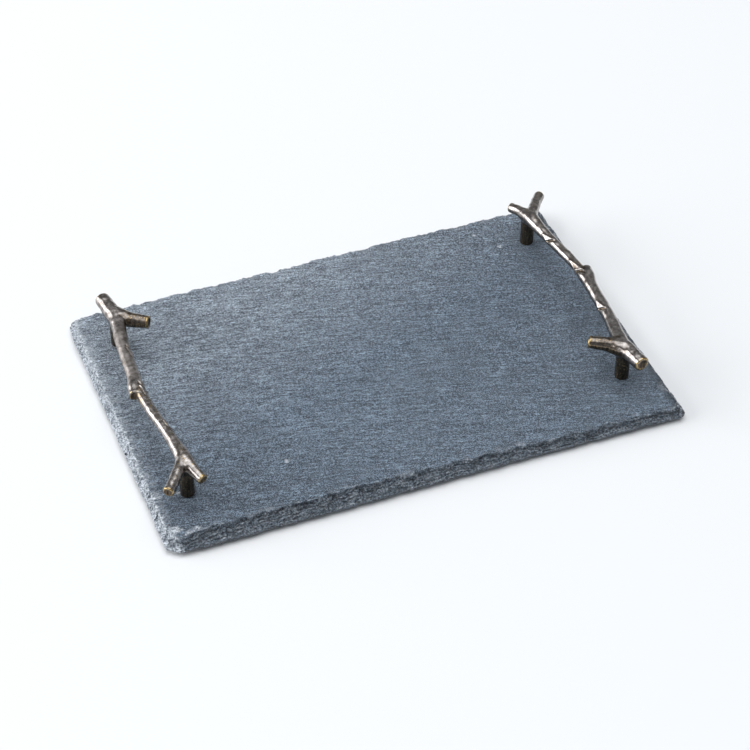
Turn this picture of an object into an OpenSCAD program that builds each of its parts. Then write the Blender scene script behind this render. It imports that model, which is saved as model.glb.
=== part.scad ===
// Slate serving board with two cast twig handles
// +X runs along the board, +Z is up, and the origin is on the table under the middle of the board

/* [Slate] */
// Length of the slab over its lip
slate_length = 298; // [220:1:420]
// Depth of the slab over its lip
slate_depth = 200; // [178:1:320]
// Thickness of the slab
slate_thickness = 5.5; // [4.5:0.1:12]
// Width of the dressed bevel at the two ends
end_bevel = 3; // [1.5:0.1:6]
// Width of the dressed bevel along the front and the back
long_bevel = 3; // [1.5:0.1:6]
// How much further the front is dressed back than the other sides
front_scallop = 5.5; // [0:0.1:10]
// Size of the largest broken corner
corner_break = 7; // [2:0.1:10]
// Depth of the small chips along the edges
edge_chips = 1; // [0.1:0.1:1.6]
// Depth of the long waves along the edges
edge_waves = 1; // [0:0.1:3]

/* [Handles] */
// Distance between the two posts of a handle
post_pitch = 128; // [100:1:146]
// Distance from the end of the slab to the posts
handle_inset = 23; // [17:0.5:40]
// How far the drilled holes sit to the right of the slab's middle
drill_right = 0; // [-4:0.1:4]
// How far the drilled holes sit behind the slab's middle
drill_back = 2.6; // [-4:0.1:4]
// Diameter of a post
post_diameter = 8; // [7:0.1:11]
// Height of the twig's middle above the slate
grip_height = 21; // [17:0.1:35]
// Diameter of the twig's stem
stem_diameter = 6.2; // [5.4:0.1:8.4]
// How far the stem bows outwards
stem_bow = 5.6; // [0:0.1:10]
// Length of the thick stub past its post
stub_length = 13.6; // [10:0.1:24]
// How far the side branch reaches inwards
branch_reach = 14.2; // [11:0.1:22]
// Length of the fork past its post
fork_length = 14; // [11:0.1:22]
// Distance between the tips of the fork
fork_spread = 18.4; // [14:0.1:26]
// How far the knot stands out from the middle of the stem
knot_offset = 3; // [1.6:0.1:3.4]
// Height of the bud scars
bud_height = 0.8; // [0.1:0.1:1.2]

/* [Fixings] */
// Diameter of a screw
screw_diameter = 4; // [3:0.1:5]
// Length of a screw inside its post
screw_grip = 8.3; // [5:0.1:12]
// Diameter of a screw's head
head_diameter = 8; // [6:0.1:9]
// Height of a screw's head
head_height = 2.6; // [1.8:0.1:3.2]
// Diameter of a washer
washer_diameter = 9; // [7.5:0.1:11]
// Thickness of a washer
washer_thickness = 0.8; // [0.5:0.1:1.5]
// Depth of the washer's recess in the underside of the slate
recess_depth = 2.6; // [1:0.1:3]

/* [Feet] */
// Diameter of a foot
foot_diameter = 12; // [8:0.1:14]
// Height of a foot
foot_height = 3; // [2:0.1:6]
// Distance from the slab's edges to the middle of a foot
foot_inset = 12; // [10:0.1:16]

/* [Hidden] */
$fn = 48;

// How far a cut runs past the face that it opens
overrun = 1;
// Play of a screw in its tapped post, on the radius
thread_play = 0.05;
// Play of a screw in its washer and in the slate, on the radius
hole_play = 0.3;
// Play of a washer in its recess, on the radius
recess_play = 0.8;
// Tapped depth left past the end of a screw
tap_spare = 2;
// Break of the edge at the bottom of a post
post_edge = 0.5;
// Taper at the end of a screw
screw_taper = 0.6;
// Straight wall of a screw's head, as a part of its height
head_wall_share = 0.35;
// Flat end of a screw's head, as a part of its diameter
head_flat_share = 0.6;
// Cross recess of a screw's head: length and width as parts of its diameter, depth as a part of its height
cross_shares = [0.55, 0.13, 0.55];
// Rounding at the bottom of a foot, as a part of its height
foot_round_share = 0.5;

// The slab stands on the feet, and the handles stand on the slab
slate_bottom = foot_height;
slate_top = slate_bottom + slate_thickness;
half_length = slate_length / 2;
half_depth = slate_depth / 2;
half_pitch = post_pitch / 2;
post_x = half_length - handle_inset;
foot_x = half_length - foot_inset;
foot_y = half_depth - foot_inset;
screw_length = washer_thickness + slate_thickness - recess_depth + screw_grip;

// Spacing of the stations round the slab's outline
edge_pitch = 4.5;
// Corners from the front left, anticlockwise, and the part of the corner break that each has lost
corner_sides = [[-1, -1], [1, -1], [1, 1], [-1, 1]];
corner_break_shares = [1, 0.26, 0.35, 0.77];
// How far the front is dressed back along the slab: places on the half length, and parts of the scallop
front_shares = [[-1, 0], [-0.95, 0.35], [-0.83, 1], [0.1, 1], [0.55, 0.6], [0.9, 0.15], [1, 0]];
// Rings of the edge from the underside up: parts of the bevel, thickness and chips, then waver in height
edge_shares = [
    [0.3, 0, 0.6, 0],
    [0, 0.14, 0.5, 0.03],
    [0.05, 0.42, 0.7, 0.04],
    [0.5, 0.55, 1, 0.04],
    [0.8, 0.66, 1, 0.04],
    [1, 1, 0.9, 0],
];
// Waves along the edge: how many go round the slab, where each starts, and its part of the depth
wave_shares = [[3, 40, 0.55], [8, 200, 0.3], [19, 95, 0.15]];
chip_seed = 7;
ledge_seed = 31;

// Faces round a ring, and rings between two places on a path
twig_sides = 14;
branch_sides = 12;
path_steps = 10;
branch_steps = 5;
// Blunt end of a twig: how far past the last place on its girth, and how thick on its girth
tip_shares = [[0.16, 0.94], [0.27, 0.78], [0.32, 0.52]];
// Post's top, in parts of the grip height, inside the twig that it carries
post_top_share = 0.93;

// Places on the stem: parts of the bow, the half pitch, the grip height and the stem's diameter
stem_shares = [
    [0.12, -0.92, 1, 1.16],
    [-0.26, -0.62, 1, 0.98],
    [-0.78, -0.31, 1.02, 0.98],
    [-1.01, -0.12, 1.03, 0.96],
    [-1, 0.03, 1.03, 1.02],
    [-0.9, 0.31, 1, 1.04],
    [-0.6, 0.62, 0.98, 1.1],
    [-0.08, 0.92, 0.98, 1.3],
];
// Places on the limbs past the posts: parts across, parts along, then the grip height and the stem's diameter
stub_shares = [[-0.25, 0.36, 1.01, 1.3], [-0.5, 1, 1.03, 1.28]];
inner_prong_shares = [[0.28, 0.75, 0.9, 0.92], [0.16, 0.33, 0.95, 0.95]];
outer_prong_shares = [
    [0.02, -0.6, 1, 0.4],
    [-0.06, -0.2, 1, 0.9],
    [-0.25, 0.2, 0.98, 0.98],
    [-0.47, 0.6, 0.96, 0.96],
    [-0.72, 1, 0.94, 0.98],
];
branch_shares = [
    [-0.12, 0.42, 1, 0.6],
    [0, 0.05, 0.99, 1.08],
    [0.24, -0.33, 0.98, 1.14],
    [0.58, -0.57, 0.98, 1.06],
    [1, -0.79, 0.97, 1.04],
];
// Places on the knot, a broken side shoot along the stem's outside: parts of its offset, then as the stem
knot_shares = [
    [0.1, 0.27, 1, 0.78],
    [-0.25, 0.14, 1.01, 0.98],
    [-0.7, 0.03, 1.03, 1.04],
    [-0.97, -0.05, 1.03, 0.95],
];
// Bud scars: places on the half pitch, their length on the stem's diameter, and the way that they face
bud_shares = [-0.52, -0.02, 0.52];
bud_length_share = 1;
bud_angle = 50;

// Outline of the slab, with its corners broken off
function broken_corner(i) =
    let (side = corner_sides[i], cut = corner_break * corner_break_shares[i])
    let (on_end = [side.x * half_length, side.y * (half_depth - cut)])
    let (on_long = [side.x * (half_length - cut), side.y * half_depth])
    i % 2 == 0 ? [on_end, on_long] : [on_long, on_end];
outline_corners = [for (i = [0:3]) each broken_corner(i)];
function stations(from, to) =
    let (count = max(1, round(norm(to - from) / edge_pitch)))
    [for (k = [0:count - 1]) from + (to - from) * k / count];
outline = [
    for (i = [0:len(outline_corners) - 1])
        each stations(outline_corners[i], outline_corners[(i + 1) % len(outline_corners)])
];

// Edge of the slab, drawn in from the outline by the bevel, the waves and the chips
function wave(turn, i = 0) =
    i == len(wave_shares) ? 0
    : wave_shares[i][2] * (1 + sin(wave_shares[i][0] * turn + wave_shares[i][1])) / 2 + wave(turn, i + 1);
function front_lean(place) =
    long_bevel + (place.y < 0 ? front_scallop * lookup(place.x / half_length, front_shares) : 0);
function edge_ring(edge, chips, ledges) = [
    for (k = [0:len(outline) - 1])
        let (rough = edge_chips * edge[2] * chips[k] + edge_waves * wave(360 * k / len(outline)))
        let (in_x = edge[0] * end_bevel + rough)
        let (in_y = edge[0] * front_lean(outline[k]) + rough)
        [
            outline[k].x * (1 - in_x / half_length),
            outline[k].y * (1 - in_y / half_depth),
            slate_bottom + slate_thickness * (edge[1] + edge[3] * ledges[k]),
        ]
];
function slate_rings() = [
    for (j = [0:len(edge_shares) - 1])
        edge_ring(
            edge_shares[j],
            rands(0, 1, len(outline), chip_seed + j),
            rands(-1, 1, len(outline), ledge_seed + j)
        )
];

// Smooth path through places that each hold a point and a girth
function between(a, b, c, d, t) =
    (2 * b + (c - a) * t + (2 * a - 5 * b + 4 * c - d) * t * t + (3 * b - a - 3 * c + d) * t * t * t) / 2;
function place_at(places, i) =
    i < 0 ? 2 * places[0] - places[1]
    : i >= len(places) ? 2 * places[len(places) - 1] - places[len(places) - 2]
    : places[i];
function smooth(places, steps) = [
    for (i = [0:len(places) - 2])
        for (k = [0:i == len(places) - 2 ? steps : steps - 1])
            between(place_at(places, i - 1), places[i], places[i + 1], place_at(places, i + 2), k / steps)
];
function point(place) = [place[0], place[1], place[2]];
function unit(v) = v / norm(v);
function heading(path, i) = unit(point(path[min(i + 1, len(path) - 1)]) - point(path[max(i - 1, 0)]));

// A bud scar swells slowly along the twig and then breaks off
function bud_swell(along, angle, i = 0) =
    i == len(bud_shares) ? 0
    : let (past = (along - bud_shares[i] * half_pitch) / (bud_length_share * stem_diameter))
    (past > -1 && past <= 0 ? (1 + past) * pow(max(0, cos(angle - bud_angle)), 2) : 0)
    + bud_swell(along, angle, i + 1);

// Ring of a twig about a point that it grows through
function twig_ring(middle, forward, girth, sides, buds) =
    let (across = unit(cross(forward, [0, 0, 1])), up = cross(across, forward))
    [
        for (k = [0:sides - 1])
            let (angle = -360 * k / sides)
            let (radius = girth / 2 + (buds ? bud_height * bud_swell(middle.y, angle) : 0))
            middle + radius * (cos(angle) * across + sin(angle) * up)
    ];
function tip_rings(path, i, way, sides) = [
    for (k = [0:len(tip_shares) - 1])
        let (tip = tip_shares[way > 0 ? k : len(tip_shares) - 1 - k], girth = path[i][3])
        let (middle = point(path[i]) + way * tip[0] * girth * heading(path, i))
        twig_ring(middle, heading(path, i), girth * tip[1], sides, false)
];
function twig_rings(path, sides, buds = false) = concat(
    tip_rings(path, 0, -1, sides),
    [for (i = [0:len(path) - 1]) twig_ring(point(path[i]), heading(path, i), path[i][3], sides, buds)],
    tip_rings(path, len(path) - 1, 1, sides)
);

// Places of the twig's limbs, across from the posts' line, along it and up from the slate
function limb(shares, start, across, along) = [
    for (share = shares)
        [
            start.x + share[0] * across,
            start.y + share[1] * along,
            share[2] * grip_height,
            share[3] * stem_diameter,
        ]
];
fork_post = [0, -half_pitch];
branch_post = [0, half_pitch];
stem_places = concat(
    limb(inner_prong_shares, fork_post, fork_spread, -fork_length),
    limb(stem_shares, [0, 0], stem_bow, half_pitch),
    limb(stub_shares, branch_post, stem_bow, stub_length)
);
outer_prong_places = limb(outer_prong_shares, fork_post, fork_spread, -fork_length);
branch_places = limb(branch_shares, branch_post, branch_reach, branch_reach);
knot_places = limb(knot_shares, [-stem_bow, 0], knot_offset, half_pitch);

// Closed skin over rings that run anticlockwise as seen from the last one
module loft(rings) {
    count = len(rings[0]);
    last = len(rings) - 1;
    sides = [
        for (r = [0:last - 1])
            for (i = [0:count - 1])
                let (a = r * count + i, b = r * count + (i + 1) % count)
                each [[a, a + count, b + count], [a, b + count, b]]
    ];
    foot = [for (i = [0:count - 1]) i];
    head = [for (i = [count - 1:-1:0]) last * count + i];
    polyhedron([for (ring = rings) each ring], concat([foot, head], sides));
}

// Under each of the four posts, on the underside of the slate
module under_posts() {
    for (x = [-post_x, post_x])
        for (y = [-half_pitch, half_pitch])
            translate([drill_right + x, drill_back + y, slate_bottom])
                children();
}

module slate_board() {
    color("#5c6771")
        difference() {
            loft(slate_rings());
            under_posts() {
                translate([0, 0, -overrun])
                    cylinder(h = slate_thickness + 2 * overrun, r = screw_diameter / 2 + hole_play);
                translate([0, 0, -overrun])
                    cylinder(h = recess_depth + overrun, r = washer_diameter / 2 + recess_play);
            }
        }
}

// One casting: the twig with its stem, stub, branch, fork and knot, on two tapped posts
module handle() {
    color("#4b4139")
        difference() {
            union() {
                loft(twig_rings(smooth(stem_places, path_steps), twig_sides, true));
                loft(twig_rings(smooth(outer_prong_places, branch_steps), branch_sides));
                loft(twig_rings(smooth(branch_places, branch_steps), branch_sides));
                loft(twig_rings(smooth(knot_places, branch_steps), branch_sides));
                for (y = [-half_pitch, half_pitch])
                    translate([0, y, 0])
                        post();
            }
            for (y = [-half_pitch, half_pitch])
                translate([0, y, -overrun])
                    cylinder(h = screw_grip + tap_spare + overrun, r = screw_diameter / 2 + thread_play);
        }
}

module post() {
    radius = post_diameter / 2;
    cylinder(h = post_edge, r1 = radius - post_edge, r2 = radius);
    translate([0, 0, post_edge])
        cylinder(h = post_top_share * grip_height - post_edge, r = radius);
}

module handle_left() {
    translate([drill_right - post_x, drill_back, slate_top])
        handle();
}

module handle_right() {
    translate([drill_right + post_x, drill_back, slate_top])
        rotate([0, 0, 180])
            handle();
}

// Pan-head screw with a cross recess, its head's seat at the origin and its shank upwards
module screw() {
    radius = head_diameter / 2;
    wall = head_wall_share * head_height;
    shank = screw_diameter / 2;
    color("silver")
        difference() {
            union() {
                rotate_extrude()
                    polygon(concat(
                        [[0, 0], [radius, 0], [radius, -wall]],
                        [
                            for (a = [15:15:90])
                                let (in = (1 - cos(a)) * (1 - head_flat_share) * radius)
                                [radius - in, -wall - sin(a) * (head_height - wall)]
                        ],
                        [[0, -head_height]]
                    ));
                cylinder(h = screw_length - screw_taper, r = shank);
                translate([0, 0, screw_length - screw_taper])
                    cylinder(h = screw_taper, r1 = shank, r2 = shank - screw_taper);
            }
            for (turn = [0, 90])
                rotate([0, 0, turn])
                    translate([0, 0, -head_height])
                        cube([
                            cross_shares[0] * head_diameter,
                            cross_shares[1] * head_diameter,
                            2 * cross_shares[2] * head_height,
                        ], center = true);
        }
}

module washer() {
    color("gainsboro")
        difference() {
            cylinder(h = washer_thickness, r = washer_diameter / 2);
            translate([0, 0, -overrun])
                cylinder(h = washer_thickness + 2 * overrun, r = screw_diameter / 2 + hole_play);
        }
}

// Stick-on rubber foot with a rounded rim
module foot() {
    radius = foot_diameter / 2;
    round = foot_round_share * foot_height;
    color("#2d2d2f")
        rotate_extrude()
            polygon(concat(
                [[0, 0]],
                [for (a = [0:15:90]) [radius - round + sin(a) * round, round - cos(a) * round]],
                [[radius, foot_height], [0, foot_height]]
            ));
}

// Fixings and feet by their corner of the board
module under_post(side) {
    seat = slate_bottom + recess_depth - washer_thickness;
    translate([drill_right + side.x * post_x, drill_back + side.y * half_pitch, seat])
        children();
}

module screw_at(side) {
    under_post(side)
        screw();
}

module washer_at(side) {
    under_post(side)
        washer();
}

module foot_at(side) {
    translate([side.x * foot_x, side.y * foot_y, 0])
        foot();
}

left_front = [-1, -1];
left_back = [-1, 1];
right_front = [1, -1];
right_back = [1, 1];

slate_board();
handle_left();
handle_right();
screw_at(left_front);  // screw_left_front
screw_at(left_back);  // screw_left_back
screw_at(right_front);  // screw_right_front
screw_at(right_back);  // screw_right_back
washer_at(left_front);  // washer_left_front
washer_at(left_back);  // washer_left_back
washer_at(right_front);  // washer_right_front
washer_at(right_back);  // washer_right_back
foot_at(left_front);  // foot_left_front
foot_at(left_back);  // foot_left_back
foot_at(right_front);  // foot_right_front
foot_at(right_back);  // foot_right_back
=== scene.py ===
import functools
import math

import bpy
import numpy as np
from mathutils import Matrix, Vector
from mathutils.geometry import delaunay_2d_cdt


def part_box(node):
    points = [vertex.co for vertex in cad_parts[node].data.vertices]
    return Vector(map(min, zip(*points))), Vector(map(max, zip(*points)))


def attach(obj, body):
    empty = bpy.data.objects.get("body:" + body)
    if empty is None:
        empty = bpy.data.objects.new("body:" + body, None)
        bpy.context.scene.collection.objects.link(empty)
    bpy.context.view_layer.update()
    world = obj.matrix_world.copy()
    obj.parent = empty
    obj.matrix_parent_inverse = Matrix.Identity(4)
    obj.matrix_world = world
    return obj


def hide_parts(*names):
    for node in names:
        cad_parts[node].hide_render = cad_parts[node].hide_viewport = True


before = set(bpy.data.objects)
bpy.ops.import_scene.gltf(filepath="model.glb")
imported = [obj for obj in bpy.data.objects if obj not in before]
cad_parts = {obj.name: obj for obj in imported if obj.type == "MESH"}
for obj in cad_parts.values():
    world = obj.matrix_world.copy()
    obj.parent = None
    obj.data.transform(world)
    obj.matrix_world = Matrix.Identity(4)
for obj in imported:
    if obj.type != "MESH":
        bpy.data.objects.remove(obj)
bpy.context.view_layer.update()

# Lengths are in millimetres, and MM turns them into Blender's metres
MM = 0.001

# View of the photograph
CAMERA_AZIMUTH = -21.323
CAMERA_ELEVATION = 41.955
CAMERA_DISTANCE = 1238.6
CAMERA_TARGET = (1.19, -5.43, 3.0)
CAMERA_LENS = 106.45
SENSOR_WIDTH = 36.0

# Light of the studio, as radiance: the room, its ceiling panel, and a window that is measured in metres
ROOM_LIGHT = 0.29
PANEL_LIGHT = 2.4
PANEL_EDGE = (0.79, 0.89)
WINDOW_LIGHT = 4.2
WINDOW_SIZE = (4.2, 2.7)
WINDOW_DISTANCE = 3.6
WINDOW_AZIMUTH = math.radians(70)

# Slab, from its solid
SLATE_LOW, SLATE_HIGH = (np.array(corner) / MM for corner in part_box("slate_board"))
HALF_LENGTH = min(-SLATE_LOW[0], SLATE_HIGH[0])
HALF_DEPTH = min(-SLATE_LOW[1], SLATE_HIGH[1])

# Corners from the front left, anticlockwise, and how much of each is broken off
CORNER_SIDES = ((-1, -1), (1, -1), (1, 1), (-1, 1))
CORNER_BREAKS = (7.0, 1.8, 2.4, 5.4)
CORNER_BULGE = 0.2

# Dressed edge: its bevels, and how much further the front is dressed back along the slab
END_BEVEL = 3.0
LONG_BEVEL = 3.0
FRONT_SCALLOP = 6.0
FRONT_PLACES = (-1, -0.95, -0.9, -0.83, -0.4, -0.13, 0.2, 0.53, 0.86, 1)
FRONT_SHARES = (0, 0.45, 0.8, 1, 1, 0.78, 0.53, 0.2, 0.17, 0)
FRONT_LIP = 1.5
EDGE_PITCH = 0.5

# Beds that broke off one behind another: where each starts up the thickness, and how far across the bevel
BED_LEVELS = (0.14, 0.24, 0.34, 0.45, 0.57, 0.76, 1.0)
BED_SHARES = (0.0, 0.22, 0.45, 0.68, 0.83, 0.90)
BED_SLANT = 0.34
LEAST_SLANT = 0.3
LEVEL_RANGE = (0.06, 0.96)
LEVEL_WAVER = 0.05
LEVEL_STEP = 0.06
END_BITE = 1.8
FRONT_BITE = 0.4
SMALL_BITE = 0.5
CHIP_DEPTH = 0.4
FOOT_INSET = 0.4
# Lean of each bed's broken face: its least, its waver, and its share of the bevel
BED_LEAN = (0.15, 0.25, 0.03)
INSET_JITTER = 0.03
LEVEL_JITTER = 0.008
JITTER_SEED = 21

# Bites out of the edge: how deep they are at least, what their draws add, and how round they are
BITE_LEAST = 0.2
BITE_SPREAD = 0.8
BITE_ROUNDNESS = 0.7

# Broken line of the lip
LIP_WAVER = 0.2
LIP_BITE = 0.6
LIP_FLAKE = 0.5
RIGHT_TRIM = 0.3

# Bands along the edges of the slab: how far in each starts, and where it is in full
RIGHT_BAND = (4, 1)
FRONT_BAND = (5, 1)
LEFT_BAND = (14, 3)

# Paleness at the edge's foot, at each bed's lower and upper line, and on the ledges between the beds
FOOT_TONE = 0.5
LOW_TONE = 0.4
HIGH_TONE = 0.3
LEDGE_TONE = 0.55
TONE_LEAST = 0.4
TONE_SPREAD = 1.2
FRONT_SHADE = 0.55
LEFT_TONE = 0.72
LEFT_FACE_TONE = 0.4
LEFT_CRACK_AND_SHADE_LOSS = 0.6
SPALL_TONE = 0.6
CRACK_AND_SHADE_EDGE = (0.3, 0.6)

# Wavers along the edge: their pitch, and their seed or that of the first bed
LIP_WAVES = (45, 11)
LEVEL_WAVES = (24, 70)
LEAN_WAVES = (3, 90)

# Cells along the edge: the shortest and the longest, and their seed or that of the first bed
LIP_BITES = (4, 17, 12)
LIP_FLAKES = (1.2, 6, 13)
WIDE_BITES = (7, 26, 14)
BREAKS = (14, 42, 15)
BED_BITES = (4, 16, 30)
SMALL_BITES = (1.5, 5, 40)
CHIPS = (0.8, 2.4, 50)
BED_STEPS = (3, 12, 80)
PALE_FLAKES = (0.8, 4, 100)
CRACK_AND_SHADE_CELLS = (2, 10, 120)

# Riven face
GRAIN_ANGLE = math.radians(-13)
GRAIN_BEND = 0.00034
FACE_DROP = 0.28
SKIN_PITCH = (1.6, 0.85)
SKIN_MARGIN = 0.7
SKIN_SEED = 301
UNDERSIDE_PITCH = (3.2, 3.2)
UNDERSIDE_MARGIN = 1.6
UNDERSIDE_SEED = 302
GRID_JITTER = 0.2
SIDE_BAND = 20
POST_SPOT = (5, 15)
# Wander of the grain, and layers of the face's relief: reach or height, pitch in each direction, and seed
GRAIN_WANDER = (2.0, 60, 50, 201)
RIPPLES = ((0.08, 15, 1.8, 202), (0.07, 26, 3.4, 203))
GRAIN_SWELL = (0.06, 50, 12, 204)
WIDE_SWELL = (0.10, 85, 70, 205)
PITS = (0.03, 1.8, 1.6, 206)
# Ripples fade from the left to the right: where, their least share, and what the left adds
RIPPLE_FADE = (-130, 120)
RIPPLE_LEAST = 0.3
RIPPLE_SPREAD = 0.7
# Flakes knocked off the face along its edge
SPALL_COUNT = 110
SPALL_SEED = 401
SPALL_RADII = (1.5, 6)
SPALL_DEPTHS = (0.12, 0.5)
# Small bruises on the face, and one pale spot that is a painted highlight: how their rims fade, and their
# places and radii
BRUISE_RIM = (0, 0.6)
BRUISES = (
    (109.7, 68.6, 1.6), (99.5, 83.9, 1.5), (-20.2, 87.3, 1.8), (-69.5, -57.7, 1.8),
    # The spot at (-130.8, -59.5) by the front left post is a painted glint on a small chip
    (-130.8, -59.5, 1.2), (-139.0, -85.0, 3.0), (-134.0, -90.0, 3.5), (-129.0, -88.0, 3.0),
)


def middle(node):
    """Middle of a CAD node's box."""
    return sum(np.array(corner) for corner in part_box(node)) / 2 / MM


# Posts, from the screws under them, and the holes in the slab
POST_PLACES = [middle(f"screw_{side}_{end}")[:2] for side in ("left", "right") for end in ("front", "back")]
POST_HALF_PITCH = (POST_PLACES[1] - POST_PLACES[0])[1] / 2
HANDLE_PLACES = {
    "left": (*(POST_PLACES[0] + POST_PLACES[1]) / 2, 0.0),
    "right": (*(POST_PLACES[2] + POST_PLACES[3]) / 2, math.pi),
}
SCREW_HOLE_RADIUS = 2.3
RECESS_RADIUS = 5.3
RECESS_DEPTH = 2.6
HOLE_SIDES = 40

# Twig in its own frame: x towards the middle of the board, y along the handle, z up from the slate.
# Each limb is a row of places along its middle, and the girth there.
STEM = (
    (5.1, -74.5, 18.9, 5.9),
    (2.9, -68.6, 20.0, 6.3),
    (0.6, -58.9, 20.9, 8.2),
    (-1.5, -39.7, 21.0, 6.3),
    (-4.4, -19.8, 21.2, 6.2),
    (-5.7, -7.7, 21.3, 6.0),
    (-5.6, 1.9, 21.4, 6.8),
    (-5.0, 19.8, 20.9, 7.1),
    (-3.4, 39.7, 20.5, 7.4),
    (-0.6, 58.9, 20.4, 8.6),
    (-1.4, 68.9, 20.5, 8.8),
    (-2.8, 77.6, 20.6, 8.6),
)
PRONG = (
    (0.4, -55.6, 21.0, 3.5),
    (-1.1, -61.2, 20.9, 6.6),
    (-4.6, -66.8, 20.6, 6.6),
    (-8.6, -72.4, 20.2, 6.3),
    (-13.0, -77.8, 19.7, 6.3),
)
BRANCH = (
    (-1.7, 71.0, 20.6, 4.5),
    (-0.3, 66.5, 20.5, 8.0),
    (2.6, 62.0, 20.2, 9.2),
    (7.0, 57.6, 20.2, 8.2),
    (14.0, 53.0, 20.3, 7.1),
)
KNOT = (
    (-5.3, 17.3, 21.0, 4.8),
    (-6.3, 9.0, 21.2, 6.3),
    (-7.9, 1.9, 21.5, 7.1),
    (-8.9, -2.8, 21.4, 6.6),
)
LIMB_STEPS = 10
TIP_SHARE = 0.32
TIP_DISH = 0.5
TIP_SHARPNESS = 2.6
# Across a tip, in shares of its radius: its dish, its dark disc of patina in the dish with a painted dark
# reflection, its worn rim and where these end
DISH_EDGE = (0.15, 0.8)
TIP_DISC = (0.5, 0.75)
TIP_RIM = (0.55, 0.8)
TIP_SIDE = (1.2, 1.5)
# Along a tip, from where it is cut off: where its disc and rim start
TIP_REACH = (-2.2, -0.8)
LIMB_SHARPNESS = 1.4
KNOT_SHARPNESS = 3.0
POST_RADIUS = 4.0
POST_TOP = 19.5
POST_CHAMFER = 0.5
TAPPED_RADIUS = 2.05
TAPPED_DEPTH = 10.3
# Leaf scars along the stem: their places, lengths, half widths and facings, the last two in degrees
SCARS = (
    (-38.5, 7.0, 31, 38),
    (-9.0, 11.0, 39, 42),
    (27.0, 7.0, 31, 38),
)
SCAR_RADIUS = 3.3
SCAR_HEIGHT = 0.3
SCAR_LEAN = 3.0
SCAR_UNDERCUT = 1.35
SCAR_NOTCH = 0.6
SCAR_REACH = (-7, -4.5)
SCAR_EDGE = 0.3
# Along a scar, in shares of its length: its end, its rise, the step after it, and the notch beyond
SCAR_END = 1.6
SCAR_RISE = (0, 0.2)
SCAR_STEP = (0.97, 1.06)
NOTCH_START = (0.98, 1.08)
NOTCH_END = (1.14, 1.45)
# Bark: pitch across and along the limb, and seed
BARK_RIDGES = (2.6, 9, 501)
BARK_LUMPS = (2.2, 3.2, 503)
BARK_OFFSET = 40
BARK_SWELLS = (7, 6, 505)
SWELL_OFFSETS = (9, 20)
RIDGE_HEIGHT = 0.06
LUMP_HEIGHT = 0.02
END_LUMP_HEIGHT = 0.06
SWELL_HEIGHT = 0.12
TWIG_BASE = (15.5, 18)
ROUGH_ENDS = (48, 60)
# Fitting of the mesh to the casting
CASTING_VOXEL = 0.3
FIT_TURNS = 6
EVEN_TURNS = 4
EVEN_SHARE = 0.6
LONGEST_MOVE = 0.8
LEAST_STEEPNESS = 0.3
WEAR_TURNS = 14

# Textures of the slate along its grain: how far each is drawn out, its pitch, its detail and its roughness
SLATE_STREAKS = (6, 1.4, 0, 0.5)
SLATE_GRAIN = (1.5, 0.40, 1, 0.5)
SLATE_LONG_STREAKS = (11, 1.3, 3, 0.6)
SLATE_SPECKS = (2.4, 1.1, 1, 0.5)
# Textures that are not drawn out: pitch, detail and roughness
SLATE_CLOUDS = (38, 4, 0.5)
SLATE_GRIT = (1.0, 2, 0.6)
SLATE_FLECKS = (1.6, 2, 0.5)
SLATE_BLOTCHES = (4.5, 3, 0.6)
BRONZE_PATCHES = (3.0, 4, 0.6)
BRONZE_MOTTLE = (0.9, 3, 0.6)
BRONZE_STREAKS = (1.1, 3, 0.6)
STEEL_TARNISH = (2.0, 4, 0.6)
STEEL_SCRATCHES = (0.4, 2, 0.6)
RUBBER_DUST = (3.0, 4, 0.6)
RUBBER_GRAIN = (0.3, 2, 0.5)
# Slant of the line across the face from which it grows paler towards the back, a painted sheen, and depths
# of the streaks' and grain's relief
SHEEN_SLANT = 0.40
STREAK_RELIEF = 0.8
GRAIN_RELIEF = 0.6

# Bands of the handles' finish and painted shade: where each starts, and where it is in full
POST_BAND = (14, 18)
BRANCH_SIDE = (2, 6)
BRANCH_END = (42, 48)
WORN_ENDS = (46, 56)
WORN_EDGES = (0.17, 0.30)
RUBBED_FRONT = (4, 10)
RUBBED_TOP = (0.8, 0.97)
CREVICES = (-0.06, 0.05)
UNDERSIDE = (-0.45, 0.15)
MATT_START = (0, 10)
MATT_END = (44, 56)
# Shares of gold and of dark patina, the dark share with painted shade on the posts and undersides and a
# painted dark reflection on the branch and tip discs
GOLD_RIM = 0.6
GOLD_POST = 0.3
GOLD_BRANCH = 0.35
GOLD_TOP = 0.4
POST_PATINA_AND_SHADE = 0.8
UNDERSIDE_SHADE = 0.75
DARK_RIM = 0.2
BRANCH_DARK_REFLECTION = 0.7
DISC_DULLNESS = 0.25
# Roughness of each handle, and how much patina it has
FINISHES = (("left", 0.24, 0.18), ("right", 0.20, 0.0))

# Colours, each as one or as the two that a material runs between
# Second colour of the slate's darkest and palest pairs: the face towards the back, a painted sheen
SLATE_DARKEST = ((0.006, 0.016, 0.034, 1), (0.016, 0.026, 0.042, 1))
SLATE_PALEST = ((0.358, 0.474, 0.604, 1), (0.685, 0.806, 0.940, 1))
SLATE_RIGHT_END_SHADE = (0.022, 0.030, 0.042, 1)
SLATE_CLOUD = (0.090, 0.118, 0.152, 1)
SLATE_BLOTCH = (0.17, 0.162, 0.178, 1)
SLATE_BROKEN = ((0.003, 0.006, 0.011, 1), (0.150, 0.198, 0.250, 1))
SLATE_CRACK_AND_SHADE = (0.004, 0.006, 0.009, 1)
SLATE_BRUISE = ((0.150, 0.178, 0.212, 1), (0.74, 0.79, 0.86, 1))
BRONZE_METAL = ((0.20, 0.182, 0.172, 1), (0.46, 0.43, 0.415, 1))
BRONZE_PATINA_AND_SHADE = ((0.036, 0.029, 0.024, 1), (0.18, 0.14, 0.098, 1))
BRONZE_GILT = (0.42, 0.31, 0.15, 1)
STEEL_PLATING = ((0.60, 0.60, 0.61, 1), (0.40, 0.39, 0.36, 1))
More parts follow.
